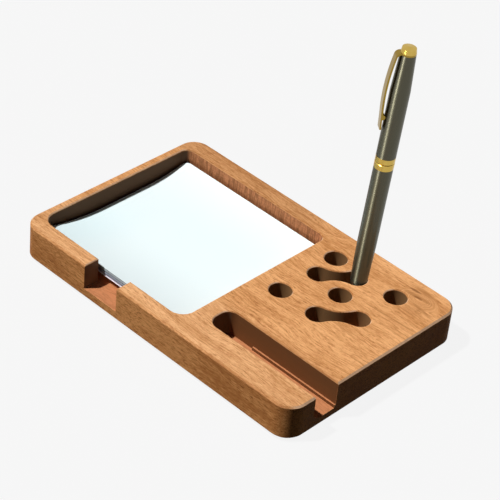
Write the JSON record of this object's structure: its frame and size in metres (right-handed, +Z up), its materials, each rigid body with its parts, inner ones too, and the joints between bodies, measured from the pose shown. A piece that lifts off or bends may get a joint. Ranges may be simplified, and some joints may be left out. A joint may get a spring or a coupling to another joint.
{
  "type": "desk organizer",
  "caption": "Wooden desk organizer block with a memo sheet pocket and finger notch, round and dumbbell pen holes, a phone slot, and a twist ballpoint pen standing in it.",
  "frame": {"origin": "middle of the board's outline at the level the feet stand on", "axes": "+Z up, +X along the board towards the open end of the phone slot, +Y away from the user"},
  "size_m": [0.17, 0.11, 0.1411],
  "materials": {
    "wood": "oiled beech, milled",
    "rubber": "matt",
    "paper": "matt",
    "barrel": "satin lacquer",
    "gold": "polished, gold-plated",
    "brass": "plain",
    "mechanism_plastic": "natural",
    "refill_plastic": "clear tube with dark ink",
    "steel": "ground"
  },
  "bodies": {
    "board": {"wooden_block": "wood", "foot_front_left": "rubber", "foot_front_right": "rubber", "foot_back_left": "rubber", "foot_back_right": "rubber"},
    "memo_stack": {"memo_sheets_lower": "paper", "memo_sheets_middle": "paper", "memo_sheets_upper": "paper"},
    "top_sheet": {"memo_top_sheet": "paper"},
    "pen_lower": {"pen_lower_barrel": "barrel", "pen_lower_ring": "gold", "pen_mechanism_housing": "brass"},
    "pen_upper": {"pen_upper_barrel": "barrel", "pen_upper_ring": "gold", "pen_clip": "gold", "pen_finial": "gold", "pen_cam_sleeve": "mechanism_plastic"},
    "refill": {"pen_refill_tube": "refill_plastic", "pen_refill_tip": "steel", "pen_cam_follower": "mechanism_plastic"}
  },
  "joints": [
    {"name": "memo_stack_lift", "type": "slide", "parent": "board", "child": "memo_stack", "axis": [0, 0, 1], "range_m": [0, 0.04]},
    {"name": "top_sheet_lift", "type": "slide", "parent": "memo_stack", "child": "top_sheet", "axis": [0, 0, 1], "range_m": [0, 0.04]},
    {"name": "pen_lift", "type": "slide", "parent": "board", "child": "pen_lower", "axis": [0.0399, 0.0339, 0.9986], "range_m": [0, 0.15]},
    {"name": "pen_twist", "type": "hinge", "parent": "pen_lower", "child": "pen_upper", "pos_m": [0.04476, 0.03664, 0.08367], "axis": [0.0399, 0.0339, 0.9986], "range_deg": [0, 120]},
    {"name": "refill_retract", "type": "slide", "parent": "pen_lower", "child": "refill", "axis": [0.0399, 0.0339, 0.9986], "range_m": [0, 0.0048]}
  ],
  "couplings": [
    {"joint": "pen_twist", "follows": "refill_retract", "rad_per_m": 436.33}
  ]
}
